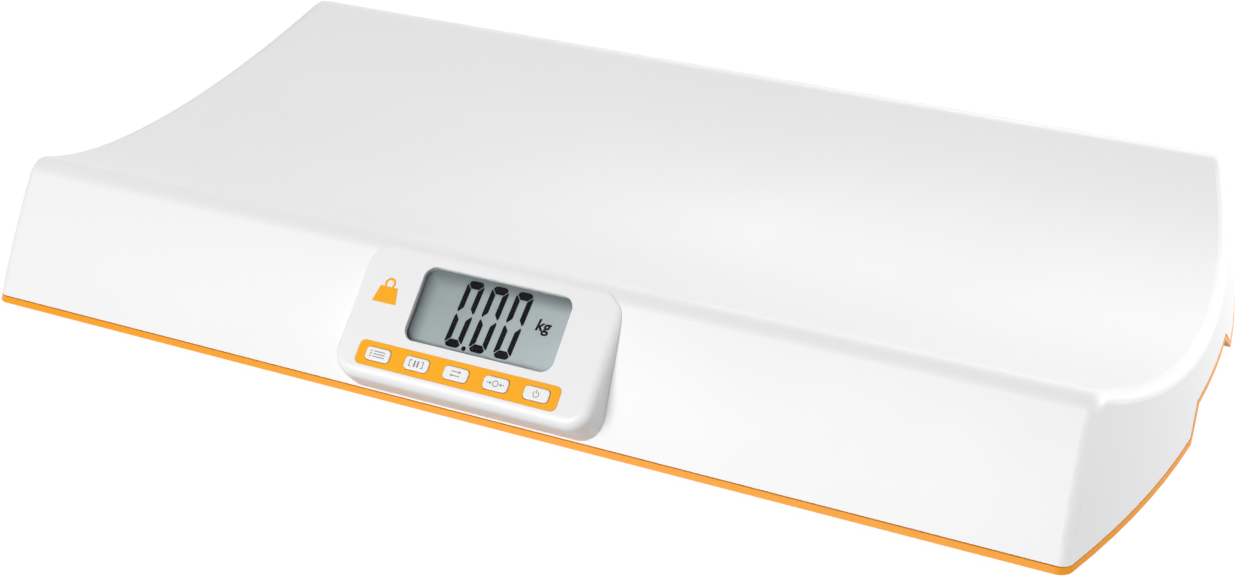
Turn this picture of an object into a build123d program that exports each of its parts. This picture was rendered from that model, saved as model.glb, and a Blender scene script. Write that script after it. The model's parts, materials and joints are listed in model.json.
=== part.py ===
from build123d import *
import os
from math import cos, pi, radians, sin, sqrt, tan

os.makedirs("parts", exist_ok=True)

# Digital baby weighing scale, in millimetres.
# +X runs along the tray, the display faces -Y and +Z is up.
# The origin is under the middle of the whole scale, on the surface that it stands on.

# Outer body
half_length = 310.0  # to the middle of an end wall, at the lip's lower edge
half_depth = 175.4  # to the lip's lower edge, front and rear
end_radius = 548.0  # bow of the end walls, seen from above
end_draft = 11.1  # lean of the end walls, degrees
tray_radius = 296.0
tray_low = 34.8  # lowest line of the tray above the lip's lower edge
rim_inset = 39.1  # from the lip's lower edge to the rim, before its rounding
rim_round = 11.0
wall_inset = 1.6  # from the lip's lower edge to the white wall's
wall_bulge = 2.2
edge_round = 6.0  # corners and tray ends
shell_wall = 2.6
foot_height = 3.2  # lip's lower edge above the floor
least_round = 0.4

# Base pan
lip_height = 2.8
lip_flare = 1.3
lip_gap = 0.5
pan_floor = 2.5
lip_wall = 2.4
lip_corner = 7.0
locating_height = 3.4
locating_wall = 1.6
fit_gap = 0.3

# Hand holds in the end walls
hold_low_width = 100.0
hold_high_width = 66.4
hold_height = 12.4
hold_depth = 34.0
hold_lining = 2.0

# Ribs, posts and screws
rib_depth = 8.0
rib_wall = 2.0
rib_pitch = 78.0
rib_rows = 60.0
post_radius = 4.0
shell_screw_radius = 1.5
screw_clearance = 0.2
thread_gap = 0.05
pilot_depth = 14.0
screw_reach = 10.0
head_radius = 3.0
head_height = 2.0
side_screw_x = 130.0
side_screw_inset = 24.4  # from the lip's lower edge
end_screw_inset = 26.0
end_screw_y = 82.0
screw_seat = 8.8  # height of the shell posts' lower ends above the lip's lower edge
seat_wall = 2.5
seat_rim = 1.4

# Load cells and feet
foot_end_inset = 85.0  # from the lip's lower edge
foot_side_inset = 63.4
cell_size = 34.0
cell_thickness = 2.5
cell_slot = 2.0
cell_gap = 0.2
cell_corner = 3.0
tongue_width = 12.0
gauge_height = 1.4
gauge_length = 10.0
holder_wall = 3.2
holder_roof = 1.4
holder_relief = 2.0
ear_reach = 8.0
ear_thickness = 3.0
ear_width = 9.0
cell_screw_reach = 8.0
foot_radius = 16.0
pad_radius = 13.5
pad_height = 3.2
pad_seat = 1.6
cup_flange = 3.0
cup_flange_height = 1.4
cup_wall = 2.2
cup_floor = 5.4
hub_radius = 7.0
collar_height = 3.4
collar_wall = 2.0
foot_gap = 0.8
stem_radius = 5.0
stem_height = 1.5

# Display housing, tilted back and standing out from the front wall
display_x = -6.3
display_width = 134.6
display_shift = 3.3  # housing's middle to the right of the board's
display_height = 69.4
display_tilt = 46.4  # from the vertical, degrees
display_draft = 6.8
display_corner = 12.5
display_edge = 5.0
display_step_y = 0.6  # top edge in front of the rim's corner line
display_step_z = 1.9  # and below it
bezel_wall = 2.2
bezel_side = 2.2
window_u = 6.9
window_v = 6.65
window_width = 78.2
window_height = 37.6
window_corner = 6.0
lens_margin = 1.7
lens_thickness = 1.2
lens_corner = 1.0
glass_thickness = 2.2
glass_margin = 1.4
holder_lip = 0.5
holder_rim = 1.2
zebra_width = 2.2
board_depth = 9.0
board_thickness = 1.6
board_width = 112.0
board_low = 5.5  # board's lower edge above the housing's lower edge
board_high = 63.2
board_corner = 1.0
strip_v = -22.6
strip_u = 1.3
strip_width = 106.2
strip_height = 12.0
strip_depth = 1.0
strip_corner = 3.0
trim_proud = 0.1
button_pitch = 20.9
button_width = 12.8
button_height = 6.5
button_corner = 2.0
button_round = 0.6
button_proud = 0.9
button_gap = 0.3
button_flange = 1.1
flange_height = 1.0
button_travel = 0.5
travel_gap = 0.05  # left between a plunger and its switch at the end of the travel
plunger_height = 0.75
switch_size = 6.0
switch_height = 3.5
plunger_radius = 1.6
cover_depth = 16.2
cover_wall = 1.6
cover_low = 10.0
cover_slot_width = 96.0
cover_slot_height = 7.0
board_screw_radius = 1.2
board_post_radius = 2.7
post_u_left = -51.0
post_u_right = 53.5
post_low = 21.0
post_high = 59.0
cavity_low = 8.5
cavity_gap = 1.2
mount_u = 59.8
mount_low = 11.0
mount_high = 45.0
mount_radius = 2.5
mount_pad = 2.0
mount_pilot = 3.5
mount_head = 2.2
screw_end_gap = 0.5
socket_pitch = 20.0
socket_width = 8.0
socket_height = 5.0
socket_length = 5.2
socket_v = -5.0
chip_radius = 7.0
chip_height = 1.5
chip_taper = 20.0
chip_u = -12.0
chip_v = 12.0
resistor_length = 2.4
capacitor_radius = 2.5
capacitor_height = 5.0

# Battery box
battery_x = 0.0
battery_y = 30.0
cell_count = 4
battery_radius = 5.25
battery_length = 44.5
battery_pitch = 10.9
contact_room = 3.6
contact_thickness = 0.4
box_wall = 1.6
door_ledge = 3.0
door_thickness = 1.9
door_gap = 0.4
door_recess = 0.2
ledge_thickness = 2.2
hook_width = 6.0
hook_reach = 3.0
hook_thickness = 1.2
hook_room = 0.5
hook_spacing = 26.0
hook_root = 1.6
catch_width = 14.0
catch_length = 9.0
catch_slot = 1.0
grip_count = 4
cell_lift = 0.5
nub_radius = 1.9
nub_height = 1.0
contact_size = 8.0
leaf_width = 4.0
leaf_radius = 3.2

# Leads
lead_radius = 1.2
lead_drop = 22.0  # straight run out of a socket
lead_share = 0.45  # part of the shorter run that a bend may take

# Levels above the floor, and the wall's section
lip_top = foot_height + lip_height
shell_foot = lip_top + lip_gap
pan_top = foot_height + pan_floor
collar_top = pan_top + collar_height
post_foot = foot_height + screw_seat
skirt = 12.0  # how far the working blocks reach below the shell
rim_half = half_depth - rim_inset
wall_foot = half_depth - wall_inset  # half depth of the white wall at its lower edge
rim_z = tray_low + tray_radius - sqrt(tray_radius**2 - rim_half**2)

# The display's face in the section through the front wall
tilt = radians(display_tilt)
face_top_y = -rim_half - display_step_y
face_top_z = rim_z - display_step_z
face_low_y = face_top_y - display_height * sin(tilt)
face_low_z = face_top_z - display_height * cos(tilt)
front_reach = -face_low_y - 0.4 * display_edge
body_y = (front_reach - half_depth) / 2
face_middle = ((face_top_y + face_low_y) / 2, (face_top_z + face_low_z) / 2)

section_plane = Plane(
    origin=(0, body_y, foot_height), x_dir=(0, 1, 0), z_dir=(1, 0, 0)
)
face_plane = Plane(
    origin=(display_x, body_y + face_middle[0], foot_height + face_middle[1]),
    x_dir=(1, 0, 0),
    z_dir=(0, -cos(tilt), sin(tilt)),
)


def plan(height):
    return Plane.XY.offset(height).move(Location((0, body_y, 0)))


def inside(depth):
    return face_plane.offset(-depth)


def up_face(from_low_edge):
    return from_low_edge - display_height / 2


def wall_depth(v):
    """Depth below the display's face at which the shell's front wall begins."""
    run = rim_half - wall_foot
    rise = rim_z - (shell_foot - foot_height)
    start_y = face_middle[0] + v * sin(tilt)
    start_z = face_middle[1] + v * cos(tilt)
    gap_y = start_y + wall_foot
    gap_z = start_z - (shell_foot - foot_height)
    across = gap_y * rise + gap_z * run
    return across / (-cos(tilt) * rise + sin(tilt) * run)


def save(piece, label):
    piece.label = label
    export_step(piece, f"parts/{label}.step")


def pegs(plane, points, radius, amount, mode=Mode.ADD):
    """Round posts or holes of one size, from a plane along its normal."""
    with BuildSketch(plane) as rounds:
        with Locations(*points):
            Circle(radius)
    extrude(rounds.sketch, amount=amount, mode=mode)


def four(x, y):
    return [(x, y), (-x, y), (-x, -y), (x, -y)]


def bowed_outline(side, reach, corner=0.0):
    """Plan of the body, half as deep as side, with end walls standing out by reach."""
    radius = end_radius + reach
    centre = half_length - end_radius
    end = centre + sqrt(radius**2 - side**2)
    with BuildSketch() as outline:
        with BuildLine():
            ThreePointArc((end, -side), (centre + radius, 0), (end, side))
            Line((end, side), (-end, side))
            ThreePointArc((-end, side), (-centre - radius, 0), (-end, -side))
            Line((-end, -side), (end, -side))
        make_face()
        if corner:
            fillet(outline.vertices(), corner)
    return outline.sketch


def shell_block(inset):
    """Solid inside the shell's outer surface, moved in by inset, open below as a skirt."""
    draft = radians(end_draft)
    foot = Vector(-wall_foot, shell_foot - foot_height)
    rim = Vector(-rim_half, rim_z)
    chord = rim - foot
    out = Vector(-chord.Y, chord.X).normalized()
    radius = chord.length**2 / (8 * wall_bulge) + wall_bulge / 2
    centre = (foot + rim) / 2 - out * (radius - wall_bulge)
    with BuildPart() as block:
        with BuildSketch(section_plane) as section:
            with Locations((centre.X, centre.Y)):
                Circle(radius - inset)
            with Locations((-centre.X, centre.Y)):
                Circle(radius - inset, mode=Mode.INTERSECT)
            with Locations((0, tray_low + tray_radius)):
                Circle(tray_radius + inset, mode=Mode.SUBTRACT)
            with Locations((0, rim_z - skirt)):
                Rectangle(4 * half_depth, 2 * rim_z, mode=Mode.INTERSECT)
            fillet(section.vertices().group_by(Axis.Y)[-1], rim_round - inset)
        extrude(amount=half_length + skirt, both=True)
        reach = skirt * tan(draft) - inset / cos(draft)
        outline = bowed_outline(half_depth + 3 * skirt, reach)
        extrude(
            plan(foot_height - skirt) * outline,
            amount=rim_z + 2 * skirt,
            taper=end_draft,
            mode=Mode.INTERSECT,
        )
        ends = block.faces().sort_by(Axis.X)
        rounded = ends[0].edges().sort_by(Axis.Z)[1:]
        rounded += ends[-1].edges().sort_by(Axis.Z)[1:]
        round_left = edge_round - max(inset, 0)
        if round_left > least_round:
            fillet(rounded, round_left)
    return block.part


def lip_block(inset, low, high):
    """Solid inside the lip's flared outer face, moved in by inset, between two levels."""
    with BuildPart() as block:
        for level in (low, high):
            side = half_depth - lip_flare * level / lip_height - inset
            reach = -level * tan(radians(end_draft)) - inset
            with BuildSketch(plan(foot_height + level)):
                add(bowed_outline(side, reach, lip_corner - inset))
        loft(ruled=True)
    return block.part


def hand_holds(extra, depth):
    """Sloping-sided recesses in both ends, from outside the walls to depth inside them."""
    low = hold_low_width / 2 + extra
    high = hold_high_width / 2 + extra
    lean = (hold_low_width - hold_high_width) / (2 * hold_height)
    drop = skirt
    start = half_length - depth
    plane = Plane(
        origin=(start, body_y, foot_height), x_dir=(0, 1, 0), z_dir=(1, 0, 0)
    )
    with BuildPart() as holds:
        with BuildSketch(plane):
            with BuildLine():
                Polyline(
                    (-low - lean * drop, -drop),
                    (low + lean * drop, -drop),
                    (high, hold_height + extra),
                    (-high, hold_height + extra),
                    close=True,
                )
            make_face()
        extrude(amount=depth + skirt)
        mirror(about=Plane.YZ)
    return holds.part


def housing(inset, start, depth):
    """Display housing's form below its face, with sides that spread towards the wall."""
    spread = tan(radians(display_draft))
    with BuildPart() as form:
        for level in (start, depth):
            with BuildSketch(inside(level)):
                with Locations((display_shift, 0)):
                    RectangleRounded(
                        display_width + 2 * spread * level - 2 * inset,
                        display_height - 2 * inset,
                        display_corner - inset,
                    )
        loft(ruled=True)
        if not inset:
            out = Axis(face_plane.origin, face_plane.z_dir)
            fillet(form.faces().sort_by(out)[-1].edges(), display_edge)
    return form.part


# Places that several pieces share
cell_x = half_length - foot_end_inset
cell_y = half_depth - foot_side_inset
side_screw_y = half_depth - side_screw_inset
end_screw_x = half_length - end_screw_inset
cup_low = collar_top + fit_gap
cup_top = cup_low + cup_flange_height
cell_low = cup_top + stem_height
cell_top = cell_low + cell_thickness
holder_top = cell_top + holder_relief + holder_roof
holder_half = cell_size / 2 + cell_gap + holder_wall
ear_centre = holder_half + ear_reach / 2
cell_points = four(cell_x, cell_y)
ear_points = four(cell_x, cell_y + ear_centre) + four(cell_x, cell_y - ear_centre)
shell_screw_points = four(side_screw_x, side_screw_y) + four(end_screw_x, end_screw_y)
seat_radius = head_radius + 2 * screw_clearance
board_back = board_depth + board_thickness
board_points = [
    (post_u_left, up_face(post_low)),
    (post_u_right, up_face(post_low)),
    (post_u_left, up_face(post_high)),
    (post_u_right, up_face(post_high)),
]
button_points = [
    (strip_u + (step - 2) * button_pitch, strip_v) for step in range(5)
]
socket_points = [((step - 2) * socket_pitch, socket_v) for step in range(5)]
bay_length = battery_length + contact_room
bay_width = cell_count * battery_pitch
door_length = bay_length + 2 * door_ledge
door_width = bay_width + 2 * door_ledge
door_low = foot_height + door_recess
door_top = door_low + door_thickness
ledge_low = door_top + door_recess
ledge_top = ledge_low + ledge_thickness
battery_z = ledge_low + cell_lift + battery_radius
bay_top = battery_z + battery_radius + door_gap
bay_plane = Plane((battery_x, body_y + battery_y, 0))


def bay(height):
    return bay_plane.offset(height)


def corner_plane(corner, height):
    """Level plane over a foot, with its x axis pointing to the nearer end wall."""
    x, y = corner
    return Plane(origin=(x, body_y + y, height), x_dir=(1 if x > 0 else -1, 0, 0))


# Working blocks
outer_block = shell_block(0)
middle_block = shell_block(shell_wall / 2)
inner_block = shell_block(shell_wall)
seam_block = shell_block(-fit_gap)
fitting_block = shell_block(shell_wall + fit_gap)
fitting_inner_block = shell_block(shell_wall + fit_gap + locating_wall)
lip_outer_block = lip_block(0, 0, lip_height)
lip_inner_block = lip_block(lip_wall, pan_floor, lip_height + skirt)
hold_block = hand_holds(0, hold_depth)
hold_lining_block = hand_holds(hold_lining, hold_depth + hold_lining)
hold_opening_block = hand_holds(hold_lining + lip_gap, hold_depth + skirt)
housing_block = housing(0, 0, display_height / 2)
housing_inner_block = housing(bezel_side, bezel_wall, display_height / 2 + skirt)

# Tray and walls in one moulding
rib_count = int(2 * half_length / rib_pitch)
with BuildPart() as ribs:
    with BuildSketch(plan(0)):
        with GridLocations(rib_pitch, 1, rib_count, 1):
            Rectangle(rib_wall, 2 * half_depth)
        with GridLocations(1, 2 * rib_rows, 1, 2):
            Rectangle(2 * half_length, rib_wall)
    extrude(amount=rim_z + 2 * skirt)
    with BuildSketch(section_plane) as band:
        with Locations((0, tray_low + tray_radius)):
            Circle(tray_radius + shell_wall + rib_depth)
            Circle(tray_radius + shell_wall / 2, mode=Mode.SUBTRACT)
    extrude(band.sketch, amount=2 * half_length, both=True, mode=Mode.INTERSECT)
    add(middle_block, mode=Mode.INTERSECT)

with BuildPart() as posts:
    pegs(plan(post_foot), shell_screw_points, post_radius, rim_z)
    pegs(plan(holder_top), ear_points, post_radius, rim_z)
    for low_edge in (mount_low, mount_high):
        wall = wall_depth(up_face(low_edge))
        points = [(mount_u, up_face(low_edge)), (-mount_u, up_face(low_edge))]
        pegs(inside(wall), points, mount_radius + 1, -shell_wall - mount_pad)
    add(middle_block, mode=Mode.INTERSECT)

with BuildPart() as top_shell:
    add(outer_block)
    split(bisect_by=Plane.XY.offset(shell_foot), keep=Keep.TOP)
    add(inner_block, mode=Mode.SUBTRACT)
    add(ribs.part)
    add(posts.part)
    add(hold_opening_block, mode=Mode.SUBTRACT)
    with BuildSketch(face_plane) as cavity:
        with Locations((0, up_face((cavity_low + board_high + cavity_gap) / 2))):
            Rectangle(
                board_width + 2 * cavity_gap, board_high + cavity_gap - cavity_low
            )
    extrude(
        cavity.sketch, amount=-cover_depth - 2 * cover_wall - mount_pad, mode=Mode.SUBTRACT
    )
    pegs(
        plan(post_foot),
        shell_screw_points,
        shell_screw_radius + thread_gap,
        pilot_depth,
        Mode.SUBTRACT,
    )
    pegs(
        plan(holder_top),
        ear_points,
        board_screw_radius + thread_gap,
        pilot_depth,
        Mode.SUBTRACT,
    )
    for low_edge in (mount_low, mount_high):
        wall = wall_depth(up_face(low_edge))
        points = [(mount_u, up_face(low_edge)), (-mount_u, up_face(low_edge))]
        pegs(
            inside(wall - mount_pilot),
            points,
            board_screw_radius + screw_clearance,
            -mount_pilot - 2 * shell_wall - mount_pad,
            Mode.SUBTRACT,
        )
save(top_shell.part, "top_shell")

# Orange base with its lip, locating rib, hand-hold linings, collars and battery box
with BuildPart() as locating_rib:
    add(fitting_block)
    add(fitting_inner_block, mode=Mode.SUBTRACT)
    with BuildSketch(plan(pan_top - pan_floor / 2)):
        Rectangle(3 * half_length, 3 * half_depth)
    extrude(
        amount=lip_height + locating_height - pan_floor / 2, mode=Mode.INTERSECT
    )
    with BuildSketch(plan(0)) as display_gap:
        with Locations((display_x, -half_depth)):
            Rectangle(display_width + 4 * display_edge, half_depth)
    extrude(display_gap.sketch, amount=rim_z, mode=Mode.SUBTRACT)

with BuildPart() as hold_lining_wall:
    add(hold_lining_block)
    add(outer_block, mode=Mode.INTERSECT)
    split(bisect_by=Plane.XY.offset(foot_height), keep=Keep.TOP)

with BuildPart() as base_pan:
    add(lip_outer_block)
    add(lip_inner_block, mode=Mode.SUBTRACT)
    add(locating_rib.part)
    add(hold_lining_wall.part)
    opening_radius = foot_radius + foot_gap
    pegs(plan(foot_height), cell_points, opening_radius + collar_wall, collar_top - foot_height)
    pegs(plan(foot_height), shell_screw_points, seat_radius + seat_rim, screw_seat)
    with BuildSketch(bay(foot_height)):
        Rectangle(door_length + 4 * door_ledge, door_width + 2 * door_ledge)
    extrude(amount=ledge_top - foot_height)
    with BuildSketch(bay(foot_height)):
        Rectangle(bay_length + 2 * box_wall, bay_width + 2 * box_wall)
    extrude(amount=bay_top + box_wall - foot_height)
    add(hold_block, mode=Mode.SUBTRACT)
    pegs(plan(0), cell_points, opening_radius, rim_z, Mode.SUBTRACT)
    pegs(plan(0), shell_screw_points, seat_radius, post_foot - seat_wall, Mode.SUBTRACT)
    screw_hole = shell_screw_radius + screw_clearance
    pegs(plan(0), shell_screw_points, screw_hole, rim_z, Mode.SUBTRACT)
    with BuildSketch(bay(0)):
        Rectangle(bay_length, bay_width)
    extrude(amount=bay_top, mode=Mode.SUBTRACT)
    with BuildSketch(bay(0)):
        Rectangle(door_length + 2 * door_gap, door_width + 2 * door_gap)
    extrude(amount=ledge_low, mode=Mode.SUBTRACT)
    with BuildSketch(bay(door_top)):
        hook_run = door_ledge + hook_reach + hook_room
        with Locations(((door_length + hook_run) / 2 - door_ledge, 0)):
            with GridLocations(1, hook_spacing, 1, 2):
                Rectangle(hook_run, hook_width + 2 * hook_room)
    extrude(amount=hook_reach + hook_room - door_recess, mode=Mode.SUBTRACT)
    pegs(
        Plane.XZ.offset(-body_y - battery_y + bay_width),
        [(battery_x, battery_z)],
        lead_radius + screw_clearance,
        -bay_width,
        Mode.SUBTRACT,
    )
save(base_pan.part, "base_pan")

# Battery door, with two hooks at one end and a sprung catch at the other
with BuildPart() as battery_door:
    with BuildSketch(bay(door_low)):
        Rectangle(door_length, door_width)
        with Locations((-door_length / 2 + catch_length / 2, 0)):
            with GridLocations(1, catch_width, 1, 2):
                Rectangle(catch_length, catch_slot, mode=Mode.SUBTRACT)
    extrude(amount=door_thickness)
    with BuildSketch(bay(door_top)):
        with Locations(((door_length - hook_root) / 2, 0)):
            with GridLocations(1, hook_spacing, 1, 2):
                Rectangle(hook_root, hook_width)
    extrude(amount=door_recess + hook_thickness)
    with BuildSketch(bay(ledge_low)):
        with Locations(((door_length + hook_reach - hook_root) / 2, 0)):
            with GridLocations(1, hook_spacing, 1, 2):
                Rectangle(hook_reach + hook_root, hook_width)
    extrude(amount=hook_thickness)
    with BuildSketch(bay(door_low)):
        with Locations((-door_length / 2 + catch_length / 2, 0)):
            with GridLocations(2 * catch_slot, 1, grip_count, 1):
                Rectangle(catch_slot, catch_width - 4 * catch_slot)
    extrude(amount=catch_slot / 2, mode=Mode.SUBTRACT)
save(battery_door.part, "battery_door")

# Four cells side by side, every second one turned round
cell_offsets = [(step - (cell_count - 1) / 2) * battery_pitch for step in range(cell_count)]
for step, offset_y in enumerate(cell_offsets):
    facing = 1 if step % 2 == 0 else -1
    start = Vector(
        battery_x - facing * battery_length / 2, body_y + battery_y + offset_y, battery_z
    )
    cell_plane = Plane(origin=start, x_dir=(0, 1, 0), z_dir=(facing, 0, 0))
    with BuildPart() as battery:
        with BuildSketch(cell_plane):
            Circle(battery_radius)
        extrude(amount=battery_length - nub_height)
        fillet(battery.edges(), least_round)
        with BuildSketch(cell_plane.offset(battery_length - nub_height)):
            Circle(nub_radius)
        extrude(amount=nub_height)
    save(battery.part, f"battery_{step + 1}")

contact_bump = contact_room / 2 - contact_thickness
contact_ends = []
for step, offset_y in enumerate(cell_offsets):
    facing = 1 if step % 2 == 0 else -1
    for end in (1, -1):
        place = Vector(
            battery_x + end * facing * bay_length / 2,
            body_y + battery_y + offset_y,
            battery_z,
        )
        plane = Plane(origin=place, x_dir=(0, 1, 0), z_dir=(-end * facing, 0, 0))
        contact_ends.append((end == 1, plane))

with BuildPart() as battery_positive_contacts:
    for positive, plane in contact_ends:
        if positive:
            with BuildSketch(plane):
                Rectangle(contact_size, contact_size)
            extrude(amount=contact_thickness)
            with BuildSketch(plane.offset(contact_thickness)):
                Circle(nub_radius + contact_thickness)
            extrude(amount=contact_bump)
save(battery_positive_contacts.part, "battery_positive_contacts")

with BuildPart() as battery_negative_contacts:
    for positive, plane in contact_ends:
        if not positive:
            with BuildSketch(plane):
                Rectangle(contact_size, contact_size)
            extrude(amount=contact_thickness)
            across = Plane(
                origin=plane.origin - plane.x_dir * leaf_width / 2,
                x_dir=plane.z_dir,
                z_dir=plane.x_dir,
            )
            with BuildSketch(across):
                with Locations((contact_room / 2 - leaf_radius, 0)):
                    Circle(leaf_radius)
                    Circle(leaf_radius - contact_thickness, mode=Mode.SUBTRACT)
                with Locations((-leaf_radius + contact_thickness / 2, 0)):
                    Rectangle(
                        2 * leaf_radius, 3 * leaf_radius, mode=Mode.SUBTRACT
                    )
            extrude(amount=leaf_width)
save(battery_negative_contacts.part, "battery_negative_contacts")

# Load cells, their holders and the feet, one of each near every corner
corner_names = {
    "rear_right": (cell_x, cell_y),
    "rear_left": (-cell_x, cell_y),
    "front_left": (-cell_x, -cell_y),
    "front_right": (cell_x, -cell_y),
}
middle = [(0, 0)]
for corner_name, corner in corner_names.items():
    with BuildPart() as load_cell:
        with BuildSketch(corner_plane(corner, cell_low)):
            RectangleRounded(cell_size, cell_size, cell_corner)
            ring = cell_size - 4 * cell_slot
            with Locations((0, 0)):
                Rectangle(ring, ring, mode=Mode.SUBTRACT)
            with Locations((cell_slot, 0)):
                Rectangle(ring, tongue_width)
        extrude(amount=cell_thickness)
        with BuildSketch(corner_plane(corner, cell_top)):
            with Locations((cell_slot, 0)):
                Rectangle(gauge_length, tongue_width - cell_slot)
        extrude(amount=gauge_height)
    save(load_cell.part, f"{corner_name}_load_cell")

    with BuildPart() as holder:
        with BuildSketch(corner_plane(corner, cell_low)):
            RectangleRounded(2 * holder_half, 2 * holder_half, cell_corner + holder_wall)
        extrude(amount=holder_top - cell_low)
        with BuildSketch(corner_plane(corner, holder_top - ear_thickness)):
            SlotCenterToCenter(2 * ear_centre, ear_width, rotation=90)
        extrude(amount=ear_thickness)
        with BuildSketch(corner_plane(corner, cell_low)):
            opening = cell_size + 2 * cell_gap
            RectangleRounded(opening, opening, cell_corner + cell_gap)
        extrude(amount=cell_thickness, mode=Mode.SUBTRACT)
        with BuildSketch(corner_plane(corner, cell_low)):
            relief = cell_size - 2 * cell_slot
            Rectangle(relief, relief)
        extrude(amount=cell_thickness + holder_relief, mode=Mode.SUBTRACT)
        with BuildSketch(corner_plane(corner, cell_low)):
            with Locations((-holder_half, 0)):
                Rectangle(holder_half, 4 * lead_radius)
        extrude(amount=cell_thickness + lead_radius, mode=Mode.SUBTRACT)
        ear_holes = [(0, ear_centre), (0, -ear_centre)]
        pegs(
            corner_plane(corner, cell_low),
            ear_holes,
            board_screw_radius + screw_clearance,
            holder_top,
            Mode.SUBTRACT,
        )
    save(holder.part, f"{corner_name}_load_cell_holder")

    with BuildPart() as foot_cup:
        sole = corner_plane(corner, pad_seat)
        flange = corner_plane(corner, cup_low)
        hollow = corner_plane(corner, cup_floor)
        pegs(sole, middle, foot_radius, cup_top - pad_seat)
        pegs(flange, middle, foot_radius + cup_flange, cup_flange_height)
        pegs(hollow, middle, foot_radius - cup_wall, rim_z, Mode.SUBTRACT)
        pegs(sole, middle, hub_radius, cup_top - pad_seat)
        pegs(corner_plane(corner, cup_top), middle, stem_radius, stem_height)
        pegs(sole, middle, pad_radius, pad_height - pad_seat, Mode.SUBTRACT)
    save(foot_cup.part, f"{corner_name}_foot_cup")

    with BuildPart() as foot_pad:
        pegs(corner_plane(corner, 0), middle, pad_radius, pad_height)
        chamfer(foot_pad.edges().sort_by(Axis.Z)[0], least_round)
    save(foot_pad.part, f"{corner_name}_foot_pad")

# Display housing
with BuildPart() as display_bezel:
    add(housing_block)
    add(housing_inner_block, mode=Mode.SUBTRACT)
    mount_points = [
        (side * mount_u, up_face(low_edge))
        for side in (1, -1)
        for low_edge in (mount_low, mount_high)
    ]
    pegs(inside(0.8 * bezel_wall), mount_points, mount_radius, -display_height / 2)
    add(seam_block, mode=Mode.SUBTRACT)
    split(bisect_by=Plane.XY.offset(shell_foot), keep=Keep.TOP)
    for low_edge in (mount_low, mount_high):
        wall = wall_depth(up_face(low_edge))
        points = [(mount_u, up_face(low_edge)), (-mount_u, up_face(low_edge))]
        pegs(
            inside(wall - mount_pilot),
            points,
            board_screw_radius + thread_gap,
            -display_height / 2,
            Mode.SUBTRACT,
        )
    pegs(
        inside(bezel_wall / 2), board_points, board_post_radius, -board_depth + bezel_wall / 2
    )
    pegs(
        inside(board_depth),
        board_points,
        board_screw_radius + thread_gap,
        board_depth - bezel_wall,
        Mode.SUBTRACT,
    )
    with BuildSketch(face_plane) as lcd_window:
        with Locations((window_u, window_v)):
            RectangleRounded(window_width, window_height, window_corner)
    extrude(lcd_window.sketch, amount=-bezel_wall, mode=Mode.SUBTRACT)
    with BuildSketch(face_plane) as strip_recess:
        with Locations((strip_u, strip_v)):
            RectangleRounded(
                strip_width + screw_clearance, strip_height + screw_clearance, strip_corner
            )
    extrude(strip_recess.sketch, amount=-strip_depth, mode=Mode.SUBTRACT)
    with BuildSketch(face_plane) as button_holes:
        with Locations(*button_points):
            RectangleRounded(
                button_width + 2 * button_gap,
                button_height + 2 * button_gap,
                button_corner + button_gap,
            )
    extrude(button_holes.sketch, amount=-bezel_wall, mode=Mode.SUBTRACT)
save(display_bezel.part, "display_bezel")

with BuildPart() as button_trim:
    with BuildSketch(inside(strip_depth)):
        with Locations((strip_u, strip_v)):
            RectangleRounded(strip_width, strip_height, strip_corner)
        with Locations(*button_points):
            RectangleRounded(
                button_width + 2 * button_gap,
                button_height + 2 * button_gap,
                button_corner + button_gap,
                mode=Mode.SUBTRACT,
            )
    extrude(amount=strip_depth + trim_proud)
save(button_trim.part, "button_trim")

flange_front = bezel_wall + screw_clearance
stem_end = board_depth - switch_height - plunger_height - button_travel - travel_gap
button_names = ["memory", "hold", "unit", "tare", "power"]
for button_name, (u, v) in zip(button_names, button_points):
    with BuildPart() as button:
        with BuildSketch(inside(flange_front)):
            with Locations((u, v)):
                RectangleRounded(button_width, button_height, button_corner)
        extrude(amount=flange_front + button_proud)
        out = Axis(face_plane.origin, face_plane.z_dir)
        fillet(button.faces().sort_by(out)[-1].edges(), button_round)
        with BuildSketch(inside(flange_front + flange_height)):
            with Locations((u, v)):
                RectangleRounded(
                    button_width + 2 * button_flange,
                    button_height + 2 * button_flange,
                    button_corner,
                )
        extrude(amount=flange_height)
        pegs(
            inside(flange_front + flange_height),
            [(u, v)],
            plunger_radius,
            flange_front + flange_height - stem_end,
        )
    save(button.part, f"{button_name}_button")

# Display stack: window, glass, holder, conductive strips and board
lens_back = bezel_wall + lens_thickness
glass_front = lens_back + holder_lip
glass_back = glass_front + glass_thickness
glass_width = window_width + 2 * glass_margin
glass_height = window_height + 2 * glass_margin
pocket_width = glass_width + 2 * cell_gap
pocket_height = glass_height + 2 * cell_gap

with BuildPart() as lcd_lens:
    with BuildSketch(inside(lens_back)):
        with Locations((window_u, window_v)):
            RectangleRounded(
                window_width + 2 * lens_margin, window_height + 2 * lens_margin, lens_corner
            )
    extrude(amount=lens_thickness)
save(lcd_lens.part, "lcd_lens")

with BuildPart() as lcd_panel:
    with BuildSketch(inside(glass_back)):
        with Locations((window_u, window_v)):
            Rectangle(glass_width, glass_height)
    extrude(amount=glass_thickness)
save(lcd_panel.part, "lcd_panel")

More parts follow.
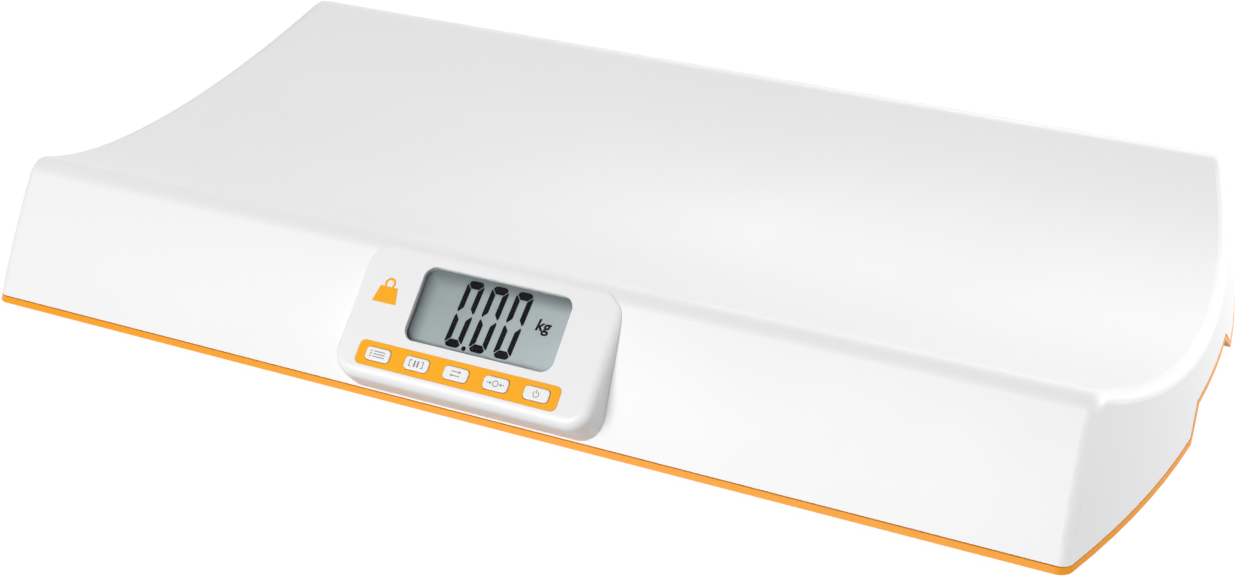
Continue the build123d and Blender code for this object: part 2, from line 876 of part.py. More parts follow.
with BuildPart() as lcd_holder:
    with BuildSketch(inside(board_depth)):
        with Locations((window_u, window_v)):
            Rectangle(pocket_width + 2 * holder_rim, pocket_height + 2 * holder_rim)
            Rectangle(pocket_width, pocket_height, mode=Mode.SUBTRACT)
    extrude(amount=board_depth - lens_back)
    with BuildSketch(inside(glass_front)):
        with Locations((window_u, window_v)):
            Rectangle(pocket_width + holder_rim, pocket_height + holder_rim)
            RectangleRounded(
                window_width + holder_lip,
                window_height + holder_lip,
                window_corner,
                mode=Mode.SUBTRACT,
            )
    extrude(amount=holder_lip)
save(lcd_holder.part, "lcd_holder")

with BuildPart() as zebra_strips:
    with BuildSketch(inside(board_depth)):
        with Locations((window_u, window_v)):
            with GridLocations(1, glass_height - zebra_width, 1, 2):
                Rectangle(glass_width - 2 * zebra_width, zebra_width)
    extrude(amount=board_depth - glass_back)
save(zebra_strips.part, "zebra_strips")

board_middle = up_face((board_low + board_high) / 2)
with BuildPart() as main_board:
    with BuildSketch(inside(board_back)):
        with Locations((0, board_middle)):
            RectangleRounded(board_width, board_high - board_low, board_corner)
    extrude(amount=board_thickness)
    pegs(
        inside(board_back),
        board_points,
        board_screw_radius + screw_clearance,
        board_thickness,
        Mode.SUBTRACT,
    )
save(main_board.part, "main_board")

with BuildPart() as tact_switches:
    with BuildSketch(inside(board_depth)):
        with Locations(*button_points):
            RectangleRounded(switch_size, switch_size, least_round)
    extrude(amount=switch_height)
    pegs(inside(board_depth), button_points, plunger_radius, switch_height + plunger_height)
save(tact_switches.part, "tact_switches")

with BuildPart() as board_components:
    with BuildSketch(inside(board_back)):
        with Locations((chip_u, chip_v)):
            Circle(chip_radius)
    extrude(amount=-chip_height, taper=chip_taper)
    for u in (chip_u + 3 * chip_radius, chip_u + 4 * chip_radius):
        pegs(inside(board_back), [(u, chip_v)], capacitor_radius, -capacitor_height)
    with BuildSketch(inside(board_back)):
        with Locations((chip_u - 2 * chip_radius, chip_v)):
            with GridLocations(2 * resistor_length, 2 * resistor_length, 2, 4):
                Rectangle(resistor_length, resistor_length / 2)
    extrude(amount=-resistor_length / 3)
save(board_components.part, "board_components")

with BuildPart() as board_sockets:
    with BuildSketch(inside(board_back)):
        with Locations(*socket_points):
            Rectangle(socket_width, socket_height)
    extrude(amount=-socket_length)
save(board_sockets.part, "board_sockets")

cover_back = cover_depth + cover_wall
cover_middle = up_face((cover_low + board_high) / 2)
with BuildPart() as display_back_cover:
    with BuildSketch(inside(cover_back)):
        with Locations((0, cover_middle)):
            RectangleRounded(board_width, board_high - cover_low, 2 * cover_wall)
    extrude(amount=cover_back - board_back)
    with BuildSketch(inside(cover_depth)):
        with Locations((0, cover_middle)):
            RectangleRounded(
                board_width - 2 * cover_wall,
                board_high - cover_low - 2 * cover_wall,
                cover_wall,
            )
    extrude(amount=cover_depth, mode=Mode.SUBTRACT)
    pegs(inside(cover_back), board_points, board_post_radius, cover_back - board_back)
    pegs(
        inside(cover_back),
        board_points,
        board_screw_radius + screw_clearance,
        cover_depth,
        Mode.SUBTRACT,
    )
    with BuildSketch(inside(cover_back)):
        with Locations((0, socket_v)):
            Rectangle(cover_slot_width, cover_slot_height)
    extrude(amount=cover_wall, mode=Mode.SUBTRACT)
save(display_back_cover.part, "display_back_cover")

# Leads from the board to the load cells and the battery box, lying on the base
socket_back = board_back + socket_length
lead_z = pan_top + lead_radius + fit_gap
cell_z = (cell_low + cell_top) / 2
cell_edge = cell_x - cell_size / 2
box_front = battery_y - bay_width / 2 - box_wall / 2
lead_routes = {
    "front_left_cell_lead": (
        0,
        [(-62, -125, lead_z), (-105, -114, lead_z), (-155, -119, lead_z)],
        [(-186, -cell_y, cell_z), (-cell_edge, -cell_y, cell_z)],
    ),
    "rear_left_cell_lead": (
        1,
        [
            (-32, -118, lead_z),
            (-50, -78, lead_z),
            (-78, -26, lead_z),
            (-92, 30, lead_z),
            (-124, 76, lead_z),
            (-164, 104, lead_z),
        ],
        [(-186, cell_y, cell_z), (-cell_edge, cell_y, cell_z)],
    ),
    "battery_lead": (
        2,
        [(-9, -116, lead_z), (2, -72, lead_z), (5, -32, lead_z)],
        [(battery_x, -12, battery_z), (battery_x, box_front, battery_z)],
    ),
    "rear_right_cell_lead": (
        3,
        [
            (20, -118, lead_z),
            (38, -78, lead_z),
            (66, -26, lead_z),
            (84, 30, lead_z),
            (118, 77, lead_z),
            (162, 105, lead_z),
        ],
        [(186, cell_y, cell_z), (cell_edge, cell_y, cell_z)],
    ),
    "front_right_cell_lead": (
        4,
        [
            (49, -125, lead_z),
            (90, -113, lead_z),
            (130, -120, lead_z),
            (164, -114, lead_z + lead_radius),
        ],
        [(187, -cell_y, cell_z), (cell_edge, -cell_y, cell_z)],
    ),
}
for lead_name, (socket, floor_points, end_points) in lead_routes.items():
    start = inside(socket_back).from_local_coords(Vector(*socket_points[socket]))
    route = [start, start - face_plane.z_dir * lead_drop]
    route += [Vector(x, body_y + y, z) for x, y, z in floor_points + end_points]
    radii = []
    for before, corner, after in zip(route, route[1:], route[2:]):
        turn = radians((corner - before).get_angle(after - corner))
        run = min((corner - before).length, (after - corner).length)
        radii.append(lead_share * run / tan(turn / 2))
    print(lead_name, "bend radii", [round(radius, 1) for radius in radii])
    with BuildPart() as lead:
        with BuildLine() as path:
            FilletPolyline(*route, radius=radii)
        with BuildSketch(Plane(origin=start, z_dir=-face_plane.z_dir)):
            Circle(lead_radius)
        sweep(path=path.wire())
    lead_length = lead.part.volume / (pi * lead_radius**2)
    print(lead_name, "path", round(path.wire().length, 1), "tube", round(lead_length, 1))
    save(lead.part, lead_name)

# Fasteners
with BuildPart() as shell_screws:
    head_seat = post_foot - seat_wall
    pegs(plan(head_seat - head_height), shell_screw_points, head_radius, head_height)
    pegs(plan(head_seat), shell_screw_points, shell_screw_radius, seat_wall + screw_reach)
save(shell_screws.part, "shell_screws")

with BuildPart() as load_cell_screws:
    ear_low = holder_top - ear_thickness
    pegs(plan(ear_low - mount_head / 2), ear_points, mount_head, mount_head / 2)
    pegs(plan(ear_low), ear_points, board_screw_radius, ear_thickness + cell_screw_reach)
save(load_cell_screws.part, "load_cell_screws")

with BuildPart() as back_cover_screws:
    pegs(inside(cover_back), board_points, mount_head, -mount_head / 2)
    screw_length = cover_back - bezel_wall - screw_end_gap
    pegs(inside(cover_back), board_points, board_screw_radius, screw_length)
save(back_cover_screws.part, "back_cover_screws")

with BuildPart() as display_screws:
    for low_edge in (mount_low, mount_high):
        wall = wall_depth(up_face(low_edge))
        points = [(mount_u, up_face(low_edge)), (-mount_u, up_face(low_edge))]
        pad_back = wall + shell_wall + mount_pad
        screw_length = shell_wall + mount_pad + mount_pilot - screw_end_gap
        pegs(inside(pad_back), points, mount_head, -mount_head / 2)
        pegs(inside(pad_back), points, board_screw_radius, screw_length)
save(display_screws.part, "display_screws")
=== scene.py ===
import json
import math

import bmesh
import bpy
from mathutils import Matrix, Vector


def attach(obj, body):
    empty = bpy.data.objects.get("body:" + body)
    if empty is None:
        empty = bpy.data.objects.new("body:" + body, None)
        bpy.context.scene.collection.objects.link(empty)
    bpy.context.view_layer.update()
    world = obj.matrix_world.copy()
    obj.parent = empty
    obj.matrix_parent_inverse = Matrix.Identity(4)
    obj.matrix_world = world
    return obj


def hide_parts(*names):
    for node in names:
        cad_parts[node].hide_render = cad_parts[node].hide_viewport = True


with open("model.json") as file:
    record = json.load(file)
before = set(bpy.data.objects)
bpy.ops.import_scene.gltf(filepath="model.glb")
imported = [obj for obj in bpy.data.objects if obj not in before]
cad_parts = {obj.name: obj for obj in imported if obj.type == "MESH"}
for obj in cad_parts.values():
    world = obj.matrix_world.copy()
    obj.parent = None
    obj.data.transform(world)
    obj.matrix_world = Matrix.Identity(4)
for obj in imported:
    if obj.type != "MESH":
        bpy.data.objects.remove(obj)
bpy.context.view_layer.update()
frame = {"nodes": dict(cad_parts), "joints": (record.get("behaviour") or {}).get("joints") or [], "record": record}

mm = 0.001
print("frame loaded")

cameraView = {
    "place": (0.3990, -0.8491, 0.4907),
    "towards": (-0.3786, 0.7977, -0.4694),
    "lens": 57.28,
    "sensor": 36.0,
}


def makeCamera(view):
    camera = bpy.data.cameras.new("camera")
    camera.lens = view["lens"]
    camera.sensor_width = view["sensor"]
    stand = bpy.data.objects.new("camera", camera)
    bpy.context.scene.collection.objects.link(stand)
    stand.location = view["place"]
    stand.rotation_euler = Vector(view["towards"]).to_track_quat("-Z", "Y").to_euler()
    bpy.context.scene.camera = stand


makeCamera(cameraView)

# the display's own axes: along the face, up the face and out of it
powerPress = next(joint for joint in frame["joints"] if joint["name"] == "power_press")
outOfFace = -Vector(powerPress["axis"]).normalized()
alongFace = Vector((1, 0, 0))
displayAxes = Matrix((alongFace, outOfFace.cross(alongFace), outOfFace)).transposed().to_4x4()
levelAxes = Matrix.Identity(4)
underside = Matrix.Rotation(math.pi, 4, "X")  # z points down, for what is seen from below


def lowAndHigh(points):
    low = Vector([min(p[i] for p in points) for i in range(3)])
    high = Vector([max(p[i] for p in points) for i in range(3)])
    return low, high


# low and high corner of a node along some axes
def nodeBox(node, axes=levelAxes):
    back = axes.transposed()
    return lowAndHigh([back @ v.co for v in frame["nodes"][node].data.vertices])


# low and high corner of each separate solid in a node
def solidBoxes(node, axes=levelAxes):
    back = axes.transposed()
    bm = bmesh.new()
    bm.from_mesh(frame["nodes"][node].data)
    bmesh.ops.remove_doubles(bm, verts=bm.verts, dist=0.001 * mm)
    left = set(bm.verts)
    boxes = []
    while left:
        todo = [left.pop()]
        points = []
        while todo:
            vert = todo.pop()
            points.append(back @ vert.co)
            near = {edge.other_vert(vert) for edge in vert.link_edges} & left
            left -= near
            todo += near
        boxes.append(lowAndHigh(points))
    bm.free()
    return sorted(boxes, key=lambda box: tuple(round(x, 5) for x in box[0]))


def shaderGroup(name, inputs, outputs):
    group = bpy.data.node_groups.new(name, "ShaderNodeTree")
    for label, kind, value in inputs:
        socket = group.interface.new_socket(name=label, in_out="INPUT", socket_type=kind)
        if value is not None:
            socket.default_value = value
    for label, kind in outputs:
        group.interface.new_socket(name=label, in_out="OUTPUT", socket_type=kind)
    return group, group.nodes.new("NodeGroupInput"), group.nodes.new("NodeGroupOutput")


def noiseNode(nodes, scale, detail=2.0, roughness=0.5):
    noise = nodes.new("ShaderNodeTexNoise")
    noise.inputs["Scale"].default_value = scale
    noise.inputs["Detail"].default_value = detail
    noise.inputs["Roughness"].default_value = roughness
    return noise


def mapRange(nodes, fromLow, fromHigh, toLow, toHigh, smooth=False):
    node = nodes.new("ShaderNodeMapRange")
    node.interpolation_type = "SMOOTHSTEP" if smooth else "LINEAR"
    limits = {"From Min": fromLow, "From Max": fromHigh, "To Min": toLow, "To Max": toHigh}
    for label, value in limits.items():
        node.inputs[label].default_value = value
    return node


def mathNode(nodes, operation, *values):
    node = nodes.new("ShaderNodeMath")
    node.operation = operation
    for socket, value in zip(node.inputs, values):
        if value is not None:
            socket.default_value = value
    return node


def colourMix(nodes, a=None, b=None):
    mix = nodes.new("ShaderNodeMix")
    mix.data_type = "RGBA"
    if a:
        mix.inputs["A"].default_value = (*a, 1)
    if b:
        mix.inputs["B"].default_value = (*b, 1)
    return mix


# fine eroded mould grain over soft flow marks, for every plastic and rubber
def makeMouldedGroup():
    group, given, put = shaderGroup(
        "mouldedSurface",
        [
            ("Vector", "NodeSocketVector", None),
            ("Base", "NodeSocketColor", (0.8, 0.8, 0.8, 1)),
            ("Shade", "NodeSocketColor", (0.7, 0.7, 0.7, 1)),
            ("Grain Scale", "NodeSocketFloat", 1500.0),
            ("Flow Scale", "NodeSocketFloat", 9.0),
            ("Roughness", "NodeSocketFloat", 0.35),
            ("Roughness Spread", "NodeSocketFloat", 0.06),
        ],
        [("Color", "NodeSocketColor"), ("Roughness", "NodeSocketFloat"), ("Height", "NodeSocketFloat")],
    )
    nodes, link = group.nodes, group.links.new
    grain = noiseNode(nodes, 1, 3.0, 0.6)
    flow = noiseNode(nodes, 1, 3.0, 0.45)
    for noise, scale in ((grain, "Grain Scale"), (flow, "Flow Scale")):
        link(given.outputs["Vector"], noise.inputs["Vector"])
        link(given.outputs[scale], noise.inputs["Scale"])
    spread = mapRange(nodes, 0.3, 0.7, 0.0, 1.0)
    link(flow.outputs["Fac"], spread.inputs["Value"])
    tint = colourMix(nodes)
    link(spread.outputs["Result"], tint.inputs["Factor"])
    link(given.outputs["Base"], tint.inputs["A"])
    link(given.outputs["Shade"], tint.inputs["B"])
    link(tint.outputs["Result"], put.inputs["Color"])
    rough = mathNode(nodes, "MULTIPLY_ADD")
    link(spread.outputs["Result"], rough.inputs[0])
    link(given.outputs["Roughness Spread"], rough.inputs[1])
    link(given.outputs["Roughness"], rough.inputs[2])
    link(rough.outputs["Value"], put.inputs["Roughness"])
    link(grain.outputs["Fac"], put.inputs["Height"])
    return group


# fine lines of rolled or drawn metal along x
def makeBrushedGroup():
    group, given, put = shaderGroup(
        "brushedSurface",
        [
            ("Vector", "NodeSocketVector", None),
            ("Base", "NodeSocketColor", (0.6, 0.6, 0.6, 1)),
            ("Shade", "NodeSocketColor", (0.5, 0.5, 0.5, 1)),
            ("Roughness", "NodeSocketFloat", 0.3),
        ],
        [("Color", "NodeSocketColor"), ("Roughness", "NodeSocketFloat"), ("Height", "NodeSocketFloat")],
    )
    nodes, link = group.nodes, group.links.new
    stretch = nodes.new("ShaderNodeMapping")
    stretch.inputs["Scale"].default_value = (60, 1600, 1600)
    lines = noiseNode(nodes, 1, 2.0, 0.6)
    link(given.outputs["Vector"], stretch.inputs["Vector"])
    link(stretch.outputs["Vector"], lines.inputs["Vector"])
    tint = colourMix(nodes)
    link(lines.outputs["Fac"], tint.inputs["Factor"])
    link(given.outputs["Base"], tint.inputs["A"])
    link(given.outputs["Shade"], tint.inputs["B"])
    link(tint.outputs["Result"], put.inputs["Color"])
    rough = mathNode(nodes, "MULTIPLY_ADD", None, 0.15)
    link(lines.outputs["Fac"], rough.inputs[0])
    link(given.outputs["Roughness"], rough.inputs[2])
    link(rough.outputs["Value"], put.inputs["Roughness"])
    link(lines.outputs["Fac"], put.inputs["Height"])
    return group


mouldedGroup = makeMouldedGroup()
brushedGroup = makeBrushedGroup()


# a material whose colour, roughness and bump come from one of the groups
def surfaceMaterial(name, group, values, bump, metallic=0.0, coat=0.0, gloss=0.5):
    material = bpy.data.materials.new(name)
    material.use_nodes = True
    nodes, link = material.node_tree.nodes, material.node_tree.links.new
    shader = nodes["Principled BSDF"]
    effect = nodes.new("ShaderNodeGroup")
    effect.node_tree = group
    for label, value in values.items():
        effect.inputs[label].default_value = value
    place = nodes.new("ShaderNodeTexCoord")
    link(place.outputs["Object"], effect.inputs["Vector"])
    link(effect.outputs["Color"], shader.inputs["Base Color"])
    link(effect.outputs["Roughness"], shader.inputs["Roughness"])
    raised = nodes.new("ShaderNodeBump")
    raised.inputs["Strength"].default_value = bump["strength"]
    raised.inputs["Distance"].default_value = bump["depth"]
    link(effect.outputs["Height"], raised.inputs["Height"])
    link(raised.outputs["Normal"], shader.inputs["Normal"])
    shader.inputs["Metallic"].default_value = metallic
    shader.inputs["Coat Weight"].default_value = coat
    shader.inputs["Specular IOR Level"].default_value = gloss
    return material


def moulded(name, base, shade, roughness, grain=1500.0, strength=0.12, coat=0.0, gloss=0.5):
    values = {"Base": (*base, 1), "Shade": (*shade, 1), "Grain Scale": grain, "Roughness": roughness}
    bump = {"strength": strength, "depth": 0.05 * mm}
    return surfaceMaterial(name, mouldedGroup, values, bump, coat=coat, gloss=gloss)


def brushed(name, base, shade, roughness):
    values = {"Base": (*base, 1), "Shade": (*shade, 1), "Roughness": roughness}
    bump = {"strength": 0.1, "depth": 0.02 * mm}
    return surfaceMaterial(name, brushedGroup, values, bump, metallic=1.0)


# clear window that lets the lamps through to the display behind it
def makeWindowClear():
    clear = {
        "tint": (0.98, 0.99, 0.99, 1),
        "bend": 1.2,
        "smearScale": 60,
        "roughLow": 0.01,
        "roughHigh": 0.05,
    }
    material = bpy.data.materials.new("windowClear")
    material.use_nodes = True
    nodes, link = material.node_tree.nodes, material.node_tree.links.new
    shader = nodes["Principled BSDF"]
    shader.inputs["Base Color"].default_value = clear["tint"]
    shader.inputs["Transmission Weight"].default_value = 1.0
    shader.inputs["IOR"].default_value = clear["bend"]
    place = nodes.new("ShaderNodeTexCoord")
    smear = noiseNode(nodes, clear["smearScale"], 3.0)
    link(place.outputs["Object"], smear.inputs["Vector"])
    rough = mapRange(nodes, 0.35, 0.7, clear["roughLow"], clear["roughHigh"])
    link(smear.outputs["Fac"], rough.inputs["Value"])
    link(rough.outputs["Result"], shader.inputs["Roughness"])
    through = nodes.new("ShaderNodeBsdfTransparent")
    through.inputs["Color"].default_value = clear["tint"]
    path = nodes.new("ShaderNodeLightPath")
    both = nodes.new("ShaderNodeMixShader")
    link(path.outputs["Is Shadow Ray"], both.inputs["Fac"])
    link(shader.outputs["BSDF"], both.inputs[1])
    link(through.outputs["BSDF"], both.inputs[2])
    link(both.outputs["Shader"], nodes["Material Output"].inputs["Surface"])
    return material


# grey-green display glass with painted shade: a broad painted shade gradient, darker towards the upper left, and a
# painted shadow along its upper and left edges, where the housing's recess shades it
def makeDisplayGlass():
    glass = {
        # the two ends of a painted shade gradient across the glass, darker towards the upper left
        "litEnd": (0.33, 0.365, 0.37),
        "shadedEnd": (0.185, 0.215, 0.215),
        "acrossShare": 0.6,  # of the change from dark to light; the rest is down the glass
        # painted shadow colour along the upper and left edges, where the housing's recess shades the glass
        "edge": (0.105, 0.122, 0.125),
        "paintedShadowFrom": 1.4 * mm,  # hidden behind the housing
        "paintedShadowReach": 9.0 * mm,
        "speckleScale": 5000,
        "speckle": 0.015,
        "roughness": 0.3,
        "gloss": 0.15,
    }
    low, high = nodeBox("lcd_panel", displayAxes)
    size = high - low
    material = bpy.data.materials.new("displayGlass")
    material.use_nodes = True
    nodes, link = material.node_tree.nodes, material.node_tree.links.new
    shader = nodes["Principled BSDF"]
    place = nodes.new("ShaderNodeTexCoord")
    turned = nodes.new("ShaderNodeMapping")
    turned.inputs["Rotation"].default_value = displayAxes.transposed().to_euler()
    turned.inputs["Location"].default_value = (-low.x, -high.y, 0)
    link(place.outputs["Object"], turned.inputs["Vector"])
    parts = nodes.new("ShaderNodeSeparateXYZ")
    link(turned.outputs["Vector"], parts.inputs["Vector"])
    down = mathNode(nodes, "MULTIPLY", None, -1.0)
    link(parts.outputs["Y"], down.inputs[0])
    paintedShadowFrom, paintedShadowTo = glass["paintedShadowFrom"], glass["paintedShadowFrom"] + glass["paintedShadowReach"]
    # painted shadow mask: 1 at the upper and left edges, fading inwards
    shadowFromLeft = mapRange(nodes, paintedShadowFrom, paintedShadowTo, 1.0, 0.0, smooth=True)
    shadowFromTop = mapRange(nodes, paintedShadowFrom, paintedShadowTo, 1.0, 0.0, smooth=True)
    link(parts.outputs["X"], shadowFromLeft.inputs["Value"])
    link(down.outputs["Value"], shadowFromTop.inputs["Value"])
    paintedShadowMask = mathNode(nodes, "MAXIMUM")
    link(shadowFromLeft.outputs["Result"], paintedShadowMask.inputs[0])
    link(shadowFromTop.outputs["Result"], paintedShadowMask.inputs[1])
    # painted shade gradient, darker towards the upper left
    across = mapRange(nodes, 0.0, size.x, 0.0, glass["acrossShare"])
    along = mapRange(nodes, 0.0, size.y, 0.0, 1.0 - glass["acrossShare"])
    link(parts.outputs["X"], across.inputs["Value"])
    link(down.outputs["Value"], along.inputs["Value"])
    shadeSlope = mathNode(nodes, "ADD")
    link(across.outputs["Result"], shadeSlope.inputs[0])
    link(along.outputs["Result"], shadeSlope.inputs[1])
    shadeGradient = colourMix(nodes, glass["shadedEnd"], glass["litEnd"])
    link(shadeSlope.outputs["Value"], shadeGradient.inputs["Factor"])
    shaded = colourMix(nodes, None, glass["edge"])
    link(paintedShadowMask.outputs["Value"], shaded.inputs["Factor"])
    link(shadeGradient.outputs["Result"], shaded.inputs["A"])
    fine = noiseNode(nodes, glass["speckleScale"], 2.0)
    link(place.outputs["Object"], fine.inputs["Vector"])
    grain = mapRange(nodes, 0.3, 0.7, 1.0 - glass["speckle"], 1.0 + glass["speckle"])
    link(fine.outputs["Fac"], grain.inputs["Value"])
    speckled = nodes.new("ShaderNodeVectorMath")
    speckled.operation = "SCALE"
    link(shaded.outputs["Result"], speckled.inputs[0])
    link(grain.outputs["Result"], speckled.inputs["Scale"])
    link(speckled.outputs["Vector"], shader.inputs["Base Color"])
    shader.inputs["Roughness"].default_value = glass["roughness"]
    shader.inputs["Specular IOR Level"].default_value = glass["gloss"]
    return material


finish = {
    "white_shell": moulded("shellPlastic", (0.84, 0.84, 0.84), (0.825, 0.825, 0.827), 0.4),
    "white_housing": moulded(
        "housingPlastic", (0.86, 0.86, 0.86), (0.85, 0.85, 0.852), 0.32, strength=0.05,
    ),
    "white_button": moulded(
        "buttonPlastic", (0.88, 0.88, 0.88), (0.87, 0.87, 0.87), 0.28, strength=0.04,
    ),
    "orange_base": moulded(
        "basePlastic", (0.9, 0.34, 0.006), (0.88, 0.325, 0.006), 0.36, strength=0.08, gloss=0.25,
    ),
    "orange_trim": moulded(
        "trimPlastic", (0.97, 0.42, 0.007), (0.96, 0.405, 0.007), 0.34, strength=0.05, gloss=0.3,
    ),
    "lcd_glass": makeDisplayGlass(),
    "inner_plastic": moulded("innerPlastic", (0.62, 0.62, 0.6), (0.58, 0.58, 0.56), 0.45),
    "soft_rubber": moulded("stripRubber", (0.75, 0.72, 0.7), (0.66, 0.63, 0.61), 0.6),
    "circuit_board": moulded("circuitBoard", (0.04, 0.2, 0.08), (0.03, 0.16, 0.06), 0.3, coat=0.4),
    "board_parts": moulded("blackResin", (0.03, 0.03, 0.034), (0.05, 0.05, 0.055), 0.4),
    "foot_plastic": moulded("footPlastic", (0.78, 0.78, 0.77), (0.75, 0.75, 0.74), 0.42),
    "sole_rubber": moulded(
        "soleRubber", (0.2, 0.2, 0.205), (0.26, 0.26, 0.265), 0.78, grain=1100.0, strength=0.3,
    ),
    "lead_sleeve": moulded("leadSleeve", (0.5, 0.5, 0.5), (0.44, 0.44, 0.44), 0.5),
    "contact_metal": brushed("contactMetal", (0.75, 0.74, 0.7), (0.68, 0.67, 0.63), 0.2),
    "screw_steel": brushed("screwSteel", (0.62, 0.62, 0.62), (0.5, 0.5, 0.5), 0.28),
    "battery_metal": brushed("cellCan", (0.66, 0.66, 0.66), (0.58, 0.58, 0.58), 0.25),
    "cell_steel": brushed("loadCellSteel", (0.62, 0.62, 0.61), (0.52, 0.52, 0.51), 0.3),
    "clear_window": makeWindowClear(),
}
inkBlack = moulded(
    "displayInk", (0.002, 0.002, 0.002), (0.003, 0.003, 0.003), 0.6, strength=0.0, gloss=0.05,
)
legendGrey = moulded("legendPrint", (0.2, 0.21, 0.22), (0.24, 0.25, 0.26), 0.5, strength=0.0)
jacketDark = moulded(
    "jacketDark", (0.03, 0.035, 0.045), (0.045, 0.05, 0.06), 0.22, strength=0.02, coat=0.6,
)
jacketLight = moulded(
    "jacketLight", (0.55, 0.56, 0.57), (0.5, 0.51, 0.52), 0.25, strength=0.02, coat=0.6,
)
print("finishes made")

for row in frame["record"]["subparts"]:
    skin = frame["nodes"][row["node"]].data.materials
    skin.clear()
    skin.append(finish[row["material_slot"]])


# bm becomes an object in the row frame that rides on a body
def finishPiece(name, bm, material, body, place=levelAxes, sharp=32):
    bmesh.ops.transform(bm, matrix=place, verts=bm.verts)
    bmesh.ops.recalc_face_normals(bm, faces=bm.faces)
    for edge in bm.edges:
        edge.smooth = len(edge.link_faces) == 2 and edge.calc_face_angle() < math.radians(sharp)
    for face in bm.faces:
        face.smooth = True
    mesh = bpy.data.meshes.new(name)
    bm.to_mesh(mesh)
    bm.free()
    mesh.materials.append(material)
    piece = bpy.data.objects.new(name, mesh)
    bpy.context.scene.collection.objects.link(piece)
    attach(piece, body)
    return piece


# moves what one builder function made into bm, at its place
def addTo(bm, part, place):
    bmesh.ops.transform(part, matrix=place, verts=part.verts)
    held = bpy.data.meshes.new("held")
    part.to_mesh(held)
    part.free()
    bm.from_mesh(held)
    bpy.data.meshes.remove(held)


# a flat outline given a thickness
def flatShape(bm, points, thickness):
    face = bm.faces.new([bm.verts.new((x, y, 0)) for x, y in points])
    grown = bmesh.ops.extrude_face_region(bm, geom=[face])
    moved = [item for item in grown["geom"] if isinstance(item, bmesh.types.BMVert)]
    bmesh.ops.translate(bm, vec=(0, 0, thickness), verts=moved)


def bar(bm, x, y, width, height, thickness):
    size = Matrix.Diagonal((width, height, thickness, 1))
    bmesh.ops.create_cube(bm, size=1.0, matrix=Matrix.Translation((x, y, thickness / 2)) @ size)


# a whole or open ring of square section
def ring(bm, x, y, radius, width, thickness, start=0.0, turn=360.0, steps=40):
    angle = math.radians(start)
    away = Vector((math.cos(angle), math.sin(angle), 0))
    middle = Vector((x, y, 0))
    lift = Vector((0, 0, thickness))
    inner = middle + away * (radius - width / 2)
    outer = middle + away * (radius + width / 2)
    face = bm.faces.new([bm.verts.new(p) for p in (inner, outer, outer + lift, inner + lift)])
    whole = turn >= 360
    bmesh.ops.spin(
        bm, geom=[face], cent=middle, axis=(0, 0, 1), angle=math.radians(turn),
        steps=steps, use_merge=whole,
    )
    if whole:
        bmesh.ops.delete(bm, geom=[face], context="FACES_ONLY")


# a profile of (radius, height) points turned about z; a closed one is a ring
def turnedShape(bm, profile, steps=48, closed=False):
    verts = [bm.verts.new((radius, 0, height)) for radius, height in profile]
    pairs = list(zip(verts, verts[1:]))
    if closed:
        pairs.append((verts[-1], verts[0]))
    edges = [bm.edges.new(pair) for pair in pairs]
    bmesh.ops.spin(
        bm, geom=verts + edges, cent=(0, 0, 0), axis=(0, 0, 1), angle=math.tau,
        steps=steps, use_merge=True,
    )
    bmesh.ops.remove_doubles(bm, verts=bm.verts, dist=0.0005 * mm)


buttonNames = ["memory", "hold", "unit", "tare", "power"]
faceLayout = {"windowRight": 6.9 * mm, "windowUp": 6.65 * mm}  # window's middle from the face's middle
windowLow, windowHigh = nodeBox("lcd_lens", displayAxes)
faceTop = nodeBox("display_bezel", displayAxes)[1].z
glassTop = nodeBox("lcd_panel", displayAxes)[1].z
faceMiddle = Vector((
    (windowLow.x + windowHigh.x) / 2 - faceLayout["windowRight"],
    (windowLow.y + windowHigh.y) / 2 - faceLayout["windowUp"],
    0,
))


# a place on the display, measured from the middle of its face, at a height out of it
def onDisplay(right, up, height):
    return displayAxes @ Matrix.Translation(faceMiddle + Vector((right, up, height)))


digits = {
    "count": 3,
    "width": 9.2 * mm,
    "height": 33.6 * mm,
    "pitch": 12.95 * mm,
    "right": -12.5 * mm,  # lower left corner of the first digit
    "up": -9.7 * mm,
    "cap": 4.0 * mm,  # thickness of the top and bottom segments
    "side": 2.75 * mm,
    "gap": 0.46 * mm,
    "slant": 3.4,
    "ink": 0.04 * mm,
    "point": 1.3 * mm,
    "pointUp": 0.6 * mm,
    "pointSides": 6,
}


# outlines of the six lit segments of a nought, from its lower left corner
def noughtSegments(d):
    w, h, cap, side, gap = d["width"], d["height"], d["cap"], d["side"], d["gap"]
    middle = h / 2
    top = [
        (0.07 * w, h - 0.42 * cap), (0.16 * w, h - 0.1 * cap), (0.28 * w, h), (0.72 * w, h),
        (0.84 * w, h - 0.1 * cap), (0.93 * w, h - 0.42 * cap), (0.72 * w, h - cap), (0.28 * w, h - cap),
    ]
    leftUp = [
        (0, h - 0.42 * cap - gap), (0, middle + 0.3 * cap + gap), (0.22 * side, middle + gap),
        (side, middle + gap + 0.95 * side), (side, h - cap - 1.2 * gap),
        (0.3 * side, h - 0.5 * cap - gap),
    ]
    low = [(x, h - y) for x, y in reversed(top)]
    rightUp = [(w - x, y) for x, y in reversed(leftUp)]
    leftLow = [(x, h - y) for x, y in reversed(leftUp)]
    rightLow = [(w - x, h - y) for x, y in leftUp]
    return [top, low, leftUp, rightUp, leftLow, rightLow]


